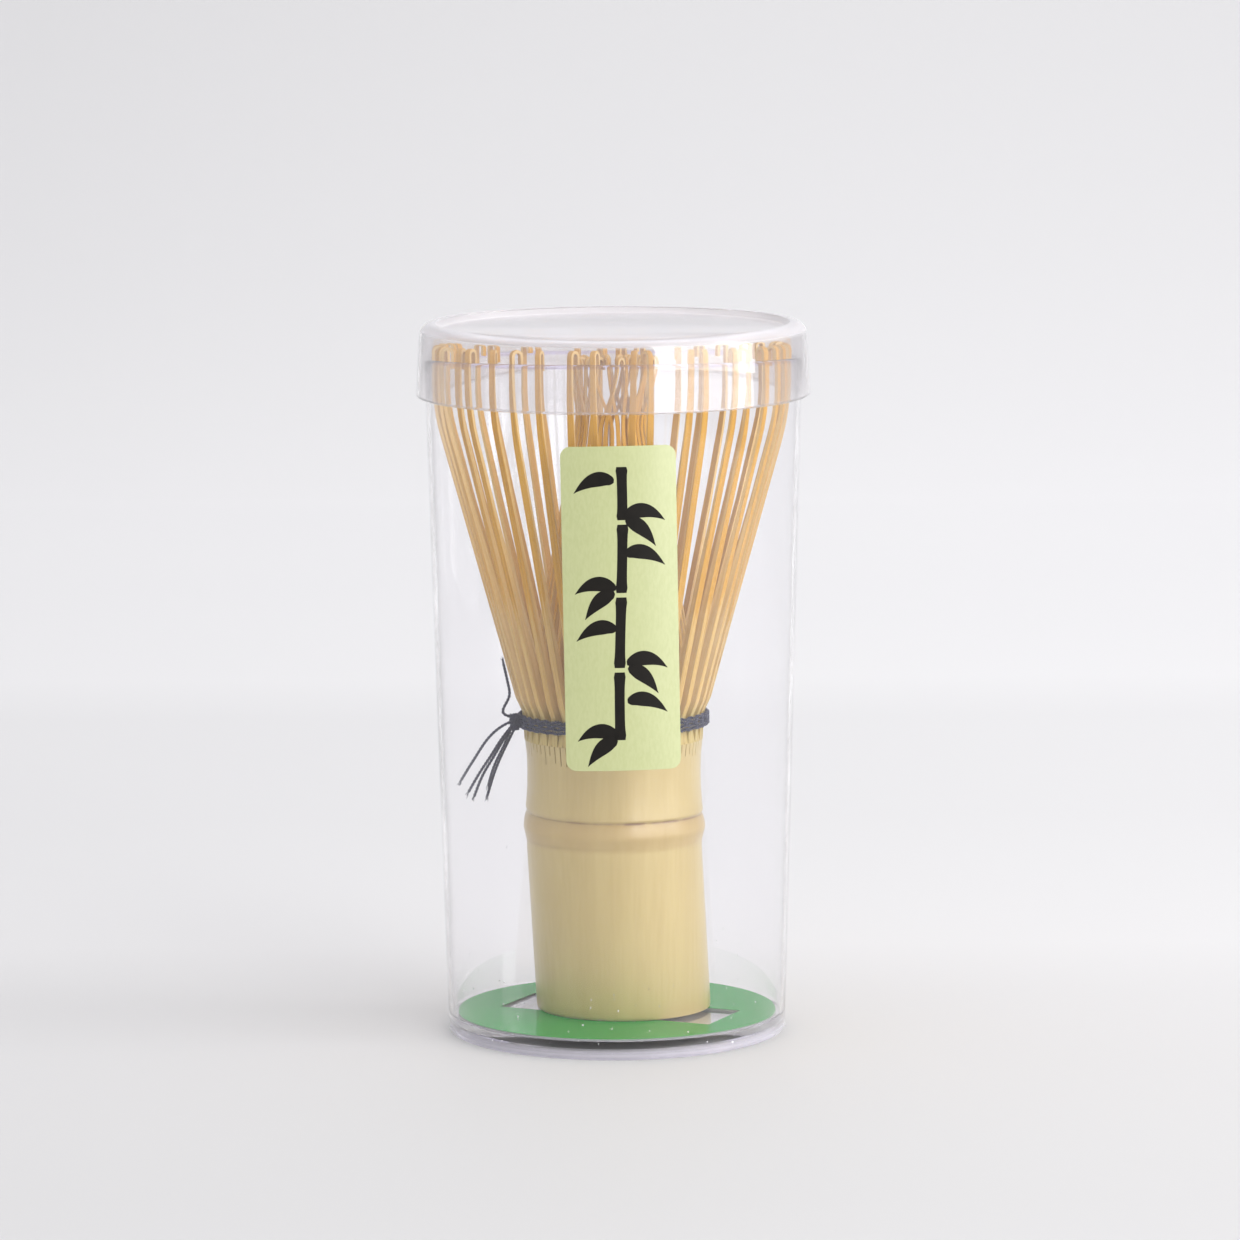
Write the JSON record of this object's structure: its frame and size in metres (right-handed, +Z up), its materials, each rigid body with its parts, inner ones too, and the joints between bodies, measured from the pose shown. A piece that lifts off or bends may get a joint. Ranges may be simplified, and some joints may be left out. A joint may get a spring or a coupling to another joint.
{
  "type": "bamboo tea whisk",
  "caption": "Bamboo tea whisk with a ring of curled outer tines round an inner bundle, bound with dark thread, standing on a card in a clear cylindrical case with a push-on lid.",
  "frame": {"origin": "centre of the case's foot, on the surface that it stands on", "axes": "+Z up along the case's axis, -Y towards the label, +X to the viewer's right"},
  "size_m": [0.064, 0.0639, 0.1174],
  "materials": {
    "clear_plastic": "clear, glossy, fine scuffs",
    "card": "coated card, glossy",
    "label": "satin paper with printed ink sprigs",
    "handle_bamboo": "dried culm skin, satin",
    "outer_bamboo": "split and shaved bamboo, satin",
    "inner_bamboo": "shaved bamboo, matt",
    "thread": "twisted dark cotton thread"
  },
  "bodies": {
    "case": {"case_tube": "clear_plastic", "base_card": "card", "front_label": "label"},
    "whisk": {"whisk_handle": "handle_bamboo", "outer_tine_01": "outer_bamboo", "outer_tine_02": "outer_bamboo", "outer_tine_03": "outer_bamboo", "outer_tine_04": "outer_bamboo", "outer_tine_05": "outer_bamboo", "outer_tine_06": "outer_bamboo", "outer_tine_07": "outer_bamboo", "outer_tine_08": "outer_bamboo", "outer_tine_09": "outer_bamboo", "outer_tine_10": "outer_bamboo", "outer_tine_11": "outer_bamboo", "outer_tine_12": "outer_bamboo", "outer_tine_13": "outer_bamboo", "outer_tine_14": "outer_bamboo", "outer_tine_15": "outer_bamboo", "outer_tine_16": "outer_bamboo", "outer_tine_17": "outer_bamboo", "outer_tine_18": "outer_bamboo", "outer_tine_19": "outer_bamboo", "outer_tine_20": "outer_bamboo", "outer_tine_21": "outer_bamboo", "outer_tine_22": "outer_bamboo", "outer_tine_23": "outer_bamboo", "outer_tine_24": "outer_bamboo", "outer_tine_25": "outer_bamboo", "outer_tine_26": "outer_bamboo", "outer_tine_27": "outer_bamboo", "outer_tine_28": "outer_bamboo", "outer_tine_29": "outer_bamboo", "outer_tine_30": "outer_bamboo", "outer_tine_31": "outer_bamboo", "outer_tine_32": "outer_bamboo", "outer_tine_33": "outer_bamboo", "outer_tine_34": "outer_bamboo", "outer_tine_35": "outer_bamboo", "outer_tine_36": "outer_bamboo", "outer_tine_37": "outer_bamboo", "outer_tine_38": "outer_bamboo", "outer_tine_39": "outer_bamboo", "outer_tine_40": "outer_bamboo", "inner_tines_back_left": "inner_bamboo", "inner_tines_front_left": "inner_bamboo", "inner_tines_front_right": "inner_bamboo", "inner_tines_back_right": "inner_bamboo", "binding_thread": "thread", "thread_knot": "thread", "thread_end_up": "thread", "thread_end_1": "thread", "thread_end_2": "thread", "thread_end_3": "thread", "thread_end_4": "thread", "thread_end_5": "thread"},
    "lid": {"case_lid": "clear_plastic"}
  },
  "joints": [
    {"name": "whisk_lift", "type": "slide", "parent": "case", "child": "whisk", "axis": [0, 0, 1], "range_m": [0, 0.13]},
    {"name": "lid_lift", "type": "slide", "parent": "whisk", "child": "lid", "axis": [0, 0, 1], "range_m": [0, 0.06]}
  ]
}
